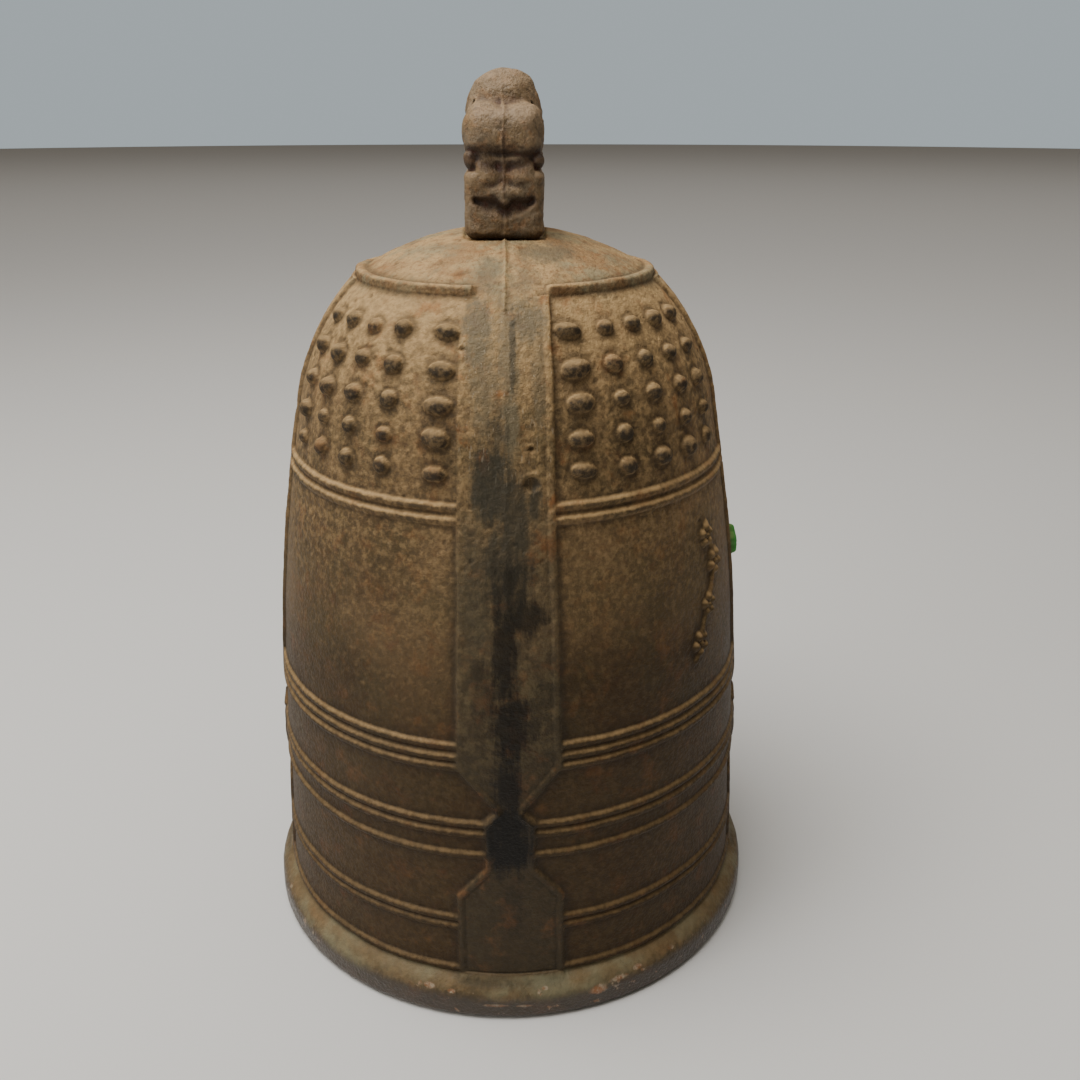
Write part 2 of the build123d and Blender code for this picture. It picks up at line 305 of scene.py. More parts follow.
def addBosses(relief, bossMark, radius, height, alongWall, turn):
    # one field in each quarter; each boss is a worn dome that differs a little from the next
    dice = np.random.default_rng(7)
    rows = len(height)
    for row, strapTurn, hand in itertools.product(range(bosses["rows"]), (0.0, math.pi), (-1, 1)):
        z0 = bosses["top"] - row * bosses["rowPitch"]
        first, second, pitch = bosses["left" if hand < 0 else "right"]
        for column in range(bosses["columns"]):
            angle = second + pitch * (column - 1) if column else first
            t0 = strapTurn + hand * math.radians(angle)
            t0 = (t0 + math.pi) % (2 * math.pi) - math.pi
            jitter = dice.normal(0, 1, 8)
            i0 = int(np.argmin(np.abs(height - z0 - 0.18 * jitter[0])))
            i = slice(max(i0 - 16, 0), i0 + 17)
            j = np.nonzero(np.abs(turn - t0) < 7.5 / radius[i0])[0]
            du = (turn[j][None, :] - t0) * radius[i][:, None] - 0.22 * jitter[1]
            dv = np.broadcast_to(alongWall[i][:, None] - alongWall[i0], du.shape)
            tilt = 0.12 * jitter[5]
            du, dv = du + tilt * dv, dv - tilt * du
            drawn = bosses["draftLength"] * (1 + 0.12 * jitter[2])
            size = bosses["radius"] if column else bosses["draftRadius"]
            du = du / (1.06 + 0.05 * abs(jitter[2]) if column else (size + drawn / 2) / size)
            size = size * (1 + 0.07 * jitter[3])
            d2 = du ** 2 + (dv * (1.05 + 0.05 * jitter[6])) ** 2
            cap = np.sqrt(np.maximum(size ** 2 - d2, 0)) - bosses["sink"]
            cap = np.where(d2 < size ** 2, cap, -bosses["sink"] - (np.sqrt(d2) - size))
            cap = np.log1p(np.exp(np.clip(cap * 6, -30, 30))) / 6       # soft foot, like a fillet
            cap = cap * (1 + 0.08 * jitter[4])
            window = np.ix_(np.arange(rows)[i], j)
            relief[window] = np.maximum(relief[window], cap + 0.25 * relief[window])
            bossMark[window] = np.maximum(bossMark[window], smoothStep(0.3, 1.1, cap))


def seatFlower(away, around):
    # a striking seat: an open flower in a ring
    petal = np.abs(np.cos(around * seats["petals"] / 2))
    petalLine = np.exp(-(petal / 0.12) ** 2) * smoothStep(2.4, 3.2, away) * smoothStep(7.4, 6.6, away)
    disc = smoothStep(seats["radius"] + 0.3, seats["radius"] - 0.5, away)
    flower = disc * (0.95 + 0.35 * smoothStep(7.6, 7.0, away) * petal ** 0.5 - 0.35 * petalLine)
    flower = flower + 0.45 * smoothStep(2.6, 1.9, away) - 0.3 * np.exp(-((away - 2.8) / 0.3) ** 2)
    flower = flower + 0.28 * np.exp(-((away - 7.5) / 0.32) ** 2)
    return disc, seats["proud"] * flower / 1.3


def blossomBranches(T, Z, R, radiusAt):
    # branches in blossom, the same on both sides of the +X strap
    mark = np.zeros_like(R)
    stem = np.array(blossoms["stem"], float)
    stemRadius = radiusAt(stem[:, 1])
    for mirror in (1, -1):
        stemTurn = np.radians(90 + mirror * (stem[:, 0] - 90))
        for index in range(len(stem) - 1):
            u = (T - stemTurn[index]) * R
            du = (stemTurn[index + 1] - stemTurn[index]) * stemRadius[index]
            stalk = segmentDistance(u, Z - stem[index, 1], 0, 0, du, stem[index + 1, 1] - stem[index, 1])
            mark = np.maximum(mark, 0.6 * cordShape(stalk, 0.7))
        for angle, z0, size in blossoms["flowers"]:
            u, v = (T - math.radians(90 + mirror * (angle - 90))) * R, Z - z0
            mark = np.maximum(mark, cordShape(np.hypot(u, v), 0.8 * size))
            for petal in range(blossoms["petals"]):
                lean = 2 * math.pi * petal / blossoms["petals"] + angle
                reach = blossoms["petalReach"] * size
                knob = np.hypot(u - reach * math.cos(lean), v - reach * math.sin(lean))
                mark = np.maximum(mark, cordShape(knob, blossoms["petalRadius"] * size))
    return mark


def bellCore(mouth, turn):
    # inside: the core's surface, with fewer divisions, down from the rim to the land under the crown
    b = bell
    waist, belly, shoulder = ((b[key][0] - b["wall"], b[key][1]) for key in ("waist", "belly", "shoulder"))
    line = joinPath([
        np.array([(mouth, 0), (mouth - 0.15, 4.0), waist]),
        arcThrough(waist, belly, shoulder, 200),
        arcThrough(shoulder, b["coreTurn"], b["coreCrown"], 120),
        np.array([b["coreCrown"], (b["landRadius"], b["crownInner"]), (0.8, b["crownInner"])]),
    ], soften=0.8)
    at = spacedRows(line, lambda z: np.where(z > 160, 1.2, 1.9))[1:]
    radius, height = (np.interp(at, np.arange(len(line)), line[:, k]) for k in (0, 1))
    R, T = np.meshgrid(radius, turn[:: b["columns"] // b["innerColumns"]], indexing="ij")
    Z = np.repeat(height[:, None], b["innerColumns"], 1)
    smoothCore = np.stack([R * np.sin(T), -R * np.cos(T), Z], -1).reshape(-1, 3)
    rough = 0.22 * layeredLumps(smoothCore, 11.0, 3, 81).reshape(R.shape)
    R = R - rough * smoothStep(0.5, 5, Z) * (1 - smoothStep(172, 174.5, Z))
    return np.stack([R * np.sin(T), -R * np.cos(T), Z], -1).reshape(-1, 3), len(radius)


def joinSkins(outer, rows, seatZ, core, attributes):
    # the two skins meet at the mouth's edge, where each inner division takes five outer ones
    inner, innerRows = core
    columns, innerColumns = bell["columns"], bell["innerColumns"]
    count, innerCount = len(outer), len(inner)
    share = columns // innerColumns
    k = np.arange(innerColumns)
    lip = [(k + 1) % innerColumns * share] + [k * share + s for s in range(share - 1, -1, -1)]
    stitch = np.stack(lip + [count + k, count + (k + 1) % innerColumns], -1)
    tips = np.array([[0, 0, seatZ], [0, 0, bell["crownInner"]]])
    faces = [
        bandFaces(rows, columns),
        fanFaces((rows - 1) * columns + np.arange(columns), count + innerCount),
        stitch[:, ::-1],
        bandFaces(innerRows, innerColumns, count, inward=True),
        fanFaces(count + (innerRows - 1) * innerColumns + k, count + innerCount + 1, inward=True),
    ]
    extra = innerCount + len(tips)
    masks = {key: np.r_[values.reshape(-1), np.zeros(extra)] for key, values in attributes.items()}
    masks["insideFace"] = np.r_[np.zeros(count), np.ones(extra)]
    return makeMesh("bellCasting", np.concatenate([outer, inner, tips]), faces, masks)


def buildBell():
    # the outside is a grid round the bell, pushed out along its normals by relief, in millimetres
    b = bell
    columns = b["columns"]
    mouth = b["wallFoot"] - b["wall"] + 0.4
    outer = bellOutline(mouth)
    outer[:, 1] = np.maximum(outer[:, 1], 0)
    at = spacedRows(outer, outlineStep)
    at = at[outer[np.minimum(at.astype(int), len(outer) - 1), 0] > 0.6]
    whole = np.arange(len(outer))
    radius, height = (np.interp(at, whole, outer[:, k]) for k in (0, 1))
    slope = np.gradient(outer, axis=0)
    slope /= np.hypot(*slope.T)[:, None]
    outR, outZ = np.interp(at, whole, slope[:, 1]), np.interp(at, whole, -slope[:, 0])
    alongWall = at * 0.05

    rows = len(at)
    turn = np.linspace(-math.pi, math.pi, columns, endpoint=False)   # zero faces -Y, a quarter turn faces +X
    R, T = np.meshgrid(radius, turn, indexing="ij")
    Z, S = (np.repeat(values[:, None], columns, 1) for values in (height, alongWall))
    onWall = smoothStep(9.0, 10.5, Z)
    flat = np.stack([R * np.sin(T), -R * np.cos(T), Z], -1).reshape(-1, 3)

    def field(size, layers, seed):
        return layeredLumps(flat, size, layers, seed).reshape(rows, columns)

    quarter = np.round(T / (math.pi / 2))
    local = T - quarter * math.pi / 2
    across = R * np.sin(local)
    front = quarter == 0
    frontOrBack = np.abs(quarter) % 2 == 0
    sideStrap = np.abs(quarter) == 1

    # straps, with a raised border that the fettler's wheel has partly taken off on the left of the front one
    wobble = 0.18 * field(9.0, 2, 11)
    sd = insideDistance(across + wobble, Z + wobble, strapOutline())
    sd = np.where(Z > straps["topHeight"] - 1, -3, sd)
    strap = smoothStep(-0.35, 0.4, sd)
    runOut = 1 - smoothStep(161.0, 170.0, Z) * smoothStep(8.5, 6.0, across) * front   # into the crown
    worn = smoothStep(2.0, -2.0, across) * smoothStep(60.0, 68.0, Z) * front
    borderGroove = smoothStep(straps["border"] - 0.35, straps["border"] + 0.35, sd)
    grooveLine = np.exp(-((sd - straps["border"]) / 0.3) ** 2)
    grooveDepth = 0.2 + 0.14 * smoothStep(42.0, 36.0, Z)
    relief = (1 - 0.5 * worn * smoothStep(112.0, 128.0, Z)) * straps["proud"] * strap
    relief = relief - (1 - 0.75 * worn) * (straps["borderDrop"] * borderGroove + grooveDepth * grooveLine)
    relief = relief * runOut

    # cords, broken by the straps, and the short slanting ones beside each strap's neck
    cordMark = np.zeros_like(R)
    for index, z in enumerate([mark for key in beltNames for mark in cords[key]]):
        lift = 0.14 * field(30.0, 1, 40 + index)
        cordMark = np.maximum(cordMark, cordShape(Z + lift - z, cords["halfWidth"]) * (1 - strap))
    tip, neck, neckTop = straps["tipWidth"] / 2, straps["neckWidth"] / 2, cords["neck"][0]
    slant = segmentDistance(np.abs(across), Z, neck + 0.4, neckTop, tip + 0.1, neckTop + neck - tip + 0.2)
    slant = np.where(np.abs(local) < 0.35, slant, 9)
    cordMark = np.maximum(cordMark, cordShape(slant, cords["halfWidth"] * 0.95))
    skinWear = smoothStep(60.0, 130.0, Z) * 0.7 + 0.3    # the lower wall came out of the mould smoother
    wear = 1 + 0.12 * skinWear * field(7.0, 2, 23)

    # the crown's ridge, open over the front and back straps
    crownEdge = np.interp(b["crown"][1], height[:rows - 40], alongWall[:rows - 40])
    ridge = cordShape(S - crownEdge, cords["ridgeHalfWidth"])
    left, right = cords["ridgeGap"]
    gap = smoothStep(left - 0.6, left + 0.6, across) * smoothStep(right + 0.6, right - 0.6, across)
    ridge = ridge * (1 - gap * frontOrBack) * (1 - smoothStep(-0.8, 0.8, sd) * sideStrap)
    relief = relief + cords["proud"] * cordMark * wear + cords["ridgeProud"] * ridge * wear

    bossMark = np.zeros_like(R)
    addBosses(relief, bossMark, radius, height, alongWall, turn)

    up = Z - seats["height"]
    disc, flower = seatFlower(np.where(sideStrap, np.hypot(across, up), 99), np.arctan2(up, across))
    relief = np.where(disc > 0, np.maximum(relief * (1 - disc), flower), relief)

    # roundel on the +X strap, a plain five-petalled flower that still has its paint
    away = np.where(quarter == 1, np.hypot(across, Z - roundel["height"]), 99)
    around = np.arctan2(Z - roundel["height"], across)
    lobe = roundel["radius"] * (0.9 + 0.14 * np.cos(around * roundel["petals"] - math.pi / 2))
    raised = smoothStep(0.45, -0.75, away - lobe)
    flowerTop = roundel["proud"] * raised * (1 - 0.1 * (away / roundel["radius"]) ** 2)
    flowerTop = flowerTop + 0.25 * smoothStep(1.3, 0.8, away)
    relief = np.maximum(relief, np.where(away < 9, flowerTop, -9))
    paint = smoothStep(0.35, 0.0, away - lobe) * raised

    branches = blossomBranches(T, Z, R, lambda z: np.interp(z, height[:rows - 60], radius[:rows - 60]))
    relief = relief + blossoms["proud"] * branches * (1 - strap) * wear

    # the mould's seam: a thin fin down the middle of the front and back, ground off where the straps are
    seam = np.exp(-((across + 0.2 * field(14.0, 2, 31)) / 0.42) ** 2) * frontOrBack
    keepSeam = np.where(Z > 168, 0.5, 0.14) * smoothStep(-0.5, 0.6, field(8.0, 2, 32) + (Z > 168))
    relief = relief + seam * keepSeam * smoothStep(22, 40, Z)

    # blowholes, each with a lip above it
    for x, z, size, deep in blowholes:
        hole = np.hypot((across - x) / 1.15, (Z - z)) / size
        pushedUp = 0.3 * np.exp(-((hole - 1.25) / 0.3) ** 2) * (Z > z)
        relief = relief - np.where(front, deep * np.exp(-hole ** 4) - pushedUp, 0)

    # hand-made unevenness: slow waves, hammer-sized hollows, sand grit and pits
    skin = 1 - 0.45 * front * strap * smoothStep(128.0, 142.0, Z)
    skin = skin + 0.9 * front * strap * smoothStep(135.0, 120.0, Z) * smoothStep(60.0, 75.0, Z)
    grit = 0.055 * field(1.1, 2, 51) + 0.06 * field(3.2, 2, 52)
    waves = 0.16 * field(26.0, 2, 53) + 0.07 * field(9.0, 2, 54)
    pits = -0.16 * smoothStep(0.62, 0.95, field(1.9, 1, 61))
    relief = (relief + (grit + pits) * skin * skinWear) * onWall + waves * smoothStep(0.5, 6, Z)
    rimGrit = (0.05 * field(1.3, 2, 71) + 0.06 * field(4.0, 2, 72)) * smoothStep(0.4, 1.5, Z) * (1 - onWall)
    relief = relief + rimGrit
    relief = np.where(Z < 12, np.minimum(relief, b["rimRadius"] - 0.02 - R), relief)

    reach = R + relief * outR[:, None]
    X, Y = reach * np.sin(T), -reach * np.cos(T)
    Zs = np.maximum(Z + relief * outZ[:, None], 0)

    # pocket for the hanger's foot
    corner = b["footCorner"]
    qx = np.abs(X) - highHanger.x / metre - b["footGap"] + corner
    qy = np.abs(Y) - b["footHalfLength"] - b["footGap"] + corner
    pocket = np.hypot(np.maximum(qx, 0), np.maximum(qy, 0)) + np.minimum(np.maximum(qx, qy), 0) - corner
    pocket = smoothStep(0.25, -0.1, pocket) * (Z > 176)
    seatZ = lowHanger.z / metre - 0.03
    points = np.stack([X, Y, Zs * (1 - pocket) + seatZ * pocket], -1).reshape(-1, 3)

    # masks for the finish; hollow is what lies below its surroundings
    broad = relief.copy()
    for _ in range(5):
        sideways = (np.roll(broad, 2, 1) + np.roll(broad, -2, 1) + broad) / 3
        padded = np.pad(sideways, ((2, 2), (0, 0)), "edge")
        broad = (padded[:-4] + padded[4:] + sideways) / 3
    attributes = {
        "hollow": np.clip((broad - relief) / 0.22, 0, 1), "bossFace": bossMark, "paint": paint,
        "cordFace": np.maximum(cordMark, ridge), "seamFace": seam * (Z > 166),
        "frontStrap": np.where(front, smoothStep(-1.5, 1.0, sd), 0),
    }

    made = joinSkins(points, rows, seatZ, bellCore(mouth, turn), attributes)
    print("bell casting:", rows, "rows,", len(made.data.polygons), "faces")
    return made


bellCasting = buildBell()
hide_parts("bell_body")
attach(bellCasting, "root")


hanger = {
    "halfWidth": 9.15,
    "seat": lowHanger.z / metre,
    "height": (highHanger.z - lowHanger.z) / metre,
    "eyeRadius": 6.0,
    "eyeHeight": 18.5,
    "unevenness": 0.35,
    "cell": 0.3,                          # spacing of the points that the shape is read at
}


def joinSoft(a, b, reach):
    # union of two solids with a fillet about reach wide
    h = np.clip(0.5 + 0.5 * (b - a) / reach, 0, 1)
    return b * (1 - h) + a * h - reach * h * (1 - h)


def cutSoft(a, b, reach):
    return -joinSoft(-a, b, reach)


def roundBlock(p, centre, half, radius):
    q = np.abs(p - centre) - (np.array(half) - radius)
    return np.linalg.norm(np.maximum(q, 0), axis=-1) + np.minimum(q.max(-1), 0) - radius


def egg(p, centre, radii):
    q = (p - centre) / radii
    k0 = np.linalg.norm(q, axis=-1)
    k1 = np.linalg.norm(q / radii, axis=-1)
    return k0 * (k0 - 1) / np.maximum(k1, 1e-9)


def rope(p, points, radius, endRadius=None):
    # a rounded strand along a few points
    points = np.array(points, float)
    radii = np.linspace(radius, radius if endRadius is None else endRadius, len(points))
    best = np.full(p.shape[:-1], 1e9)
    for a, b, ra, rb in zip(points, points[1:], radii, radii[1:]):
        d = b - a
        t = np.clip(((p - a) @ d) / (d @ d), 0, 1)
        best = np.minimum(best, np.linalg.norm(p - a - t[..., None] * d, axis=-1) - (ra + t * (rb - ra)))
    return best


def curl(centre, radius, start, sweep, side, count=9, grow=0.55):
    # a flat spiral lock on the hanger's side
    t = np.linspace(0, 1, count)
    a = np.radians(start + sweep * t)
    r = radius * (1 - grow * t)
    return [(side, centre[0] + rr * math.cos(aa), centre[1] + rr * math.sin(aa)) for rr, aa in zip(r, a)]


browShadow = [(0, 15.5, 15.6), (3.2, 15.3, 16.5), (6.2, 14.4, 17.8), (9.6, 12.3, 19.4)]
mouthLine = [(0, 15.5, 6.6), (2.2, 15.4, 7.3), (4.4, 15.0, 7.9), (6.0, 14.3, 8.7)]


def hangerSolid(p):
    # p is folded so that both heads and both cheeks are one: x outwards, y to a snout, z up from the seat
    h = hanger
    body = roundBlock(p, (0, 10.2, 7.8), (h["halfWidth"], 4.4, 7.8), 2.5)
    body = joinSoft(body, roundBlock(p, (0, 0, 7.2), (7.9, 10.0, 7.2), 1.2), 1.0)
    ring = np.maximum(np.hypot(p[..., 1], p[..., 2] - h["eyeHeight"]) - 8.8, np.abs(p[..., 0]) - 8.0)
    body = joinSoft(body, ring, 0.9)
    # heavy forehead, then the jewel above and behind it
    a = np.maximum(p[..., 0] - 4.4, 0) / 4.85
    b = np.abs(p[..., 1] - 6.1) / 9.2
    c = np.abs(p[..., 2] - 22.7) / 6.7
    forehead = ((a ** 2.5 + b ** 2.5 + c ** 2.5) ** (1 / 2.5) - 1) * 6.7
    body = joinSoft(body, forehead, 0.6)
    body = joinSoft(body, egg(p, (0, 0, 28.4), (8.6, 8.4, 8.4)), 1.5)
    # the face stands out below the brow's shadow, with ears at its corners
    body = joinSoft(body, roundBlock(p, (0, 9.8, 13.2), (6.6, 4.9, 5.0), 1.8), 0.8)
    body = cutSoft(body, rope(p, browShadow, 1.25, 0.7), 0.9)
    body = joinSoft(body, egg(p, (7.6, 11.5, 17.3), (1.65, 2.2, 2.0)), 0.4)
    # bridge of the nose, eyes, and the lip that hangs over the mouth
    body = cutSoft(body, rope(p, mouthLine, 1.5, 0.9), 1.2)
    body = joinSoft(body, rope(p, [(0, 13.2, 17.0), (0, 13.8, 13.8), (0, 14.4, 8.8)], 0.5, 1.1), 1.4)
    body = joinSoft(body, egg(p, (3.2, 13.9, 13.7), (2.1, 1.5, 1.7)), 0.9)
    body = joinSoft(body, rope(p, [(1.2, 13.9, 10.7), (3.0, 14.0, 10.7), (5.2, 13.4, 9.9)], 1.5, 1.1), 0.8)
    # cheek curls and mane on the sides, round the eye
    for centre, radius, start, sweep in (((9.6, 4.8), 2.4, 40, 330), ((10.6, 12.0), 1.8, -150, 300)):
        body = joinSoft(body, rope(p, curl(centre, radius, start, sweep, 8.3), 0.7, 0.45), 0.4)
    for lift in (0.0, 2.4, 4.8):
        middle, end = (8.9 - lift * 0.2, 7.0, 22.5 + lift), (7.8 - lift * 0.3, 5.0, 26.0 + lift * 0.7)
        body = cutSoft(body, rope(p, [(9.1, 8.9, 20.0 + lift), middle, end], 0.6, 0.4), 0.4)
    for place in (0.0, 2.8, 5.4):
        body = cutSoft(body, rope(p, [(8.6, place, 1.2), (8.6, place, 7.8)], 0.55, 0.4), 0.35)
    # raised lip round the eye, then the eye itself
    lip = np.hypot(np.hypot(p[..., 1], p[..., 2] - h["eyeHeight"]) - 7.3, p[..., 0] - 7.9) - 0.65
    body = joinSoft(body, lip, 0.3)
    body = np.maximum(body, h["eyeRadius"] - np.hypot(p[..., 1], p[..., 2] - h["eyeHeight"]))
    # the parting line of the hanger's own mould
    fin = np.maximum(np.abs(p[..., 0]) - 0.16, body - 0.2)
    body = joinSoft(body, fin, 0.15)
    return np.maximum(body, -p[..., 2])


def surfaceNet(value, low, cell):
    # one point in each cell that the surface crosses, and one quad for each edge that it cuts
    inside = value < 0
    shape = np.array(value.shape)
    total = np.zeros(tuple(shape - 1) + (3,))
    hits = np.zeros(tuple(shape - 1))
    for axis in range(3):
        for side in range(4):
            offset = [0, 0, 0]
            others = [a for a in range(3) if a != axis]
            offset[others[0]], offset[others[1]] = side & 1, side >> 1
            a = tuple(slice(o, n - 1 + o) for o, n in zip(offset, shape))
            offset[axis] = 1
            b = tuple(slice(o, n - 1 + o) for o, n in zip(offset, shape))
            cut = inside[a] != inside[b]
            t = value[a] / np.where(cut, value[a] - value[b], 1)
            place = np.array(offset, float) * np.ones(tuple(shape - 1) + (3,))
            place[..., axis] = t
            total += np.where(cut[..., None], place, 0)
            hits += cut
    crossed = hits > 0
    number = np.full(crossed.shape, -1)
    number[crossed] = np.arange(crossed.sum())
    where = np.argwhere(crossed)
    points = (where + total[crossed] / hits[crossed][:, None]) * cell + low
    faces = []
    for axis in range(3):
        u, v = [a for a in range(3) if a != axis]
        a = [slice(1, n - 1) for n in shape]
        b = [slice(1, n - 1) for n in shape]
        a[axis], b[axis] = slice(0, shape[axis] - 1), slice(1, shape[axis])
        cut = inside[tuple(a)] != inside[tuple(b)]
        cells = np.argwhere(cut)
        starts = inside[tuple(a)][cut]
        base = cells + 1
        base[:, axis] -= 1
        ring = []
        for du, dv in ((0, 0), (1, 0), (1, 1), (0, 1)):
            c = base.copy()
            c[:, u] -= du
            c[:, v] -= dv
            ring.append(number[c[:, 0], c[:, 1], c[:, 2]])
        quad = np.stack(ring, -1)
        turnedRound = starts if axis != 1 else ~starts
        faces.append(np.where(turnedRound[:, None], quad, quad[:, ::-1]))
    return points, np.concatenate(faces)


def buildHanger():
    h = hanger
    cell = h["cell"]
    low = np.array([-10.2, -17.1, -0.75])
    high = np.array([10.2, 17.1, h["height"] + 0.75])
    axes = [np.arange(a, b, cell) for a, b in zip(low, high)]
    p = np.stack(np.meshgrid(*axes, indexing="ij"), -1)
    # hand-carved pattern: nothing on it is quite even, but the eye and the seat stay true
    fromEye = np.hypot(p[..., 1], p[..., 2] - h["eyeHeight"]) - h["eyeRadius"]
    carved = smoothStep(0.3, 3.5, fromEye) * smoothStep(0.3, 2.5, p[..., 2])
    uneven = np.stack([layeredLumps(p.reshape(-1, 3), 5.0, 2, seed) for seed in (95, 96, 97)], -1)
    p = p + h["unevenness"] * uneven.reshape(p.shape) * carved[..., None]
    folded = np.stack([np.abs(p[..., 0]), np.abs(p[..., 1]), p[..., 2]], -1)
    value = hangerSolid(folded)
    points, faces = surfaceNet(value, low, cell)
    # how far each point stands from its neighbours' mean, for the finish
    count = len(points)
    a = faces[:, [0, 1, 2, 3]].reshape(-1)
    b = faces[:, [1, 2, 3, 0]].reshape(-1)
    degree = np.bincount(a, minlength=count) + np.bincount(b, minlength=count)

    def neighbourMean(values):
        return np.stack([
            (np.bincount(a, values[b, k], count) + np.bincount(b, values[a, k], count)) / degree
            for k in range(values.shape[1])
        ], -1)

    points = points * 0.4 + neighbourMean(points) * 0.6
    edge1, edge2 = points[faces[:, 2]] - points[faces[:, 0]], points[faces[:, 3]] - points[faces[:, 1]]
    faceNormal = np.cross(edge1, edge2)
    corners = faces.reshape(-1)
    normal = np.stack([np.bincount(corners, np.repeat(faceNormal[:, k], 4), count) for k in range(3)], -1)
    normal /= np.linalg.norm(normal, axis=1)[:, None]
    broad = points.copy()
    for _ in range(14):
        broad = neighbourMean(broad)
    bulge = ((points - broad) * normal).sum(1)
    folded = np.stack([np.abs(points[:, 0]), np.abs(points[:, 1]), points[:, 2]], -1)
    shade = np.maximum(smoothStep(1.3, -0.6, rope(folded, browShadow, 1.2, 0.8)),
                       smoothStep(1.0, -0.7, rope(folded, mouthLine, 1.6, 1.1)))
    shade = shade * (0.7 + 0.5 * layeredLumps(points, 2.2, 2, 98))
    shade = np.clip(shade, 0, 1)
    shade = np.maximum(shade, 0.6 * smoothStep(0.7, -0.6, egg(folded, (7.4, 12.0, 17.4), (2.1, 2.6, 1.9))))
    seam = smoothStep(0.6, 0.2, folded[:, 0]) * smoothStep(9.0, 12.0, folded[:, 2])
    shade = np.maximum(shade, 0.5 * seam * smoothStep(25.0, 22.0, folded[:, 2]))
    grit = 0.08 * layeredLumps(points, 1.3, 2, 91) + 0.13 * layeredLumps(points, 4.5, 2, 93)
    bore = np.hypot(points[:, 1], points[:, 2] - h["eyeHeight"])
    still = smoothStep(h["eyeRadius"] + 0.1, h["eyeRadius"] + 0.8, bore) * smoothStep(0.2, 1.0, points[:, 2])
    points = points + normal * (grit * still)[:, None]
    points[:, 2] = np.clip(points[:, 2], 0, h["height"] - 0.01) + h["seat"]
    made = makeMesh("dragonCasting", points, [faces], {
        "crest": np.clip(bulge / 0.16, 0, 1), "hollow": np.clip(-bulge / 0.16, 0, 1), "shade": shade,
    })
    print("dragon hanger:", len(made.data.polygons), "faces")
    return made


dragonCasting = buildHanger()
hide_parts("dragon_hanger")
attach(dragonCasting, "root")


stud = {"diameter": 6.0, "pitch": 1.0, "threadDepth": 0.55, "columns": 48, "rowStep": 0.125}


def buildStud(node, name):
    low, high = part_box(node)
    middle = (low + high) / 2 / metre
    bottom, top = low.z / metre, high.z / metre
    rows = int((top - bottom) / stud["rowStep"]) + 1
    z = np.linspace(bottom, top, rows)
    t = np.linspace(0, 2 * math.pi, stud["columns"], endpoint=False)
    Zs, T = np.meshgrid(z, t, indexing="ij")
    phase = (Zs / stud["pitch"] - T / (2 * math.pi)) % 1.0
    ramp = np.abs(phase * 2 - 1)
    cut = stud["threadDepth"] * smoothStep(0.08, 0.92, ramp)
    end = np.minimum(Zs - bottom, top - Zs)
    R = np.minimum(stud["diameter"] / 2 - cut, stud["diameter"] / 2 - 0.75 + end)
    ring = np.stack([middle.x + R * np.cos(T), middle.y + R * np.sin(T), Zs], -1).reshape(-1, 3)
    tips = np.array([[middle.x, middle.y, bottom], [middle.x, middle.y, top]])
    count = len(ring)
    faces = [
        bandFaces(rows, stud["columns"]),
        fanFaces(np.arange(stud["columns"]), count, inward=True),
        fanFaces(count - stud["columns"] + np.arange(stud["columns"]), count + 1),
    ]
    made = makeMesh(name, np.concatenate([ring, tips]), faces)
    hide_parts(node)
    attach(made, "root")
    return made


fixings = [buildStud("front_stud", "frontStud"), buildStud("rear_stud", "rearStud")]
print("studs made")


def addNode(tree, kind, inputs=None, **settings):
    # adds one node with its settings, and gives each input a value, or a link from a socket or a node
    made = tree.nodes.new("ShaderNode" + kind)
    for key, value in settings.items():
        setattr(made, key, value)
    for key, value in (inputs or {}).items():
        if isinstance(value, bpy.types.Node):
            value = value.outputs[0]
        if isinstance(value, bpy.types.NodeSocket):
            tree.links.new(value, made.inputs[key])
        else:
            made.inputs[key].default_value = value
    return made


def startMaterial(name):
    # an empty material, the way to add its nodes, and object coordinates counted in millimetres
    material = bpy.data.materials.new(name)
    material.use_nodes = True
    material.node_tree.nodes.clear()
    add = functools.partial(addNode, material.node_tree)
    place = add("TexCoord").outputs["Object"]
    return material, add, add("VectorMath", {0: place, 1: (1000, 1000, 1000)}, operation="MULTIPLY")


def finishMaterial(material, add, inputs):
    add("OutputMaterial", {"Surface": add("BsdfPrincipled", inputs)})
    return material


def patches(add, space, size, low, high, detail=3.0, rough=0.55, stretch=(1, 1, 1), shift=0.0):
    # a mask of soft-edged patches about size millimetres across
    moved = add("Mapping", {"Vector": space, "Scale": stretch, "Location": (shift, shift * 0.7, -shift)})
    noise = add("TexNoise", {"Vector": moved, "Scale": 1 / size, "Detail": detail, "Roughness": rough})
    return product(add, (noise, low, high))


def product(add, *places):
    # masks and numbers multiplied together, where (source, from, from, to, to) stands for a smooth ramp
    result = None
    for place in places:
        if isinstance(place, tuple):
            place = add("MapRange", dict(enumerate(place)), interpolation_type="SMOOTHSTEP")
        result = place if result is None else add("Math", {0: result, 1: place}, operation="MULTIPLY")
    return result


def coat(add, under, over, *places):
    # one colour laid over another where all the places are
    colours = [linearColour(c) if isinstance(c, str) else c for c in (under, over)]
    return add("Mix", {0: product(add, *places), 6: colours[0], 7: colours[1]}, data_type="RGBA").outputs[2]


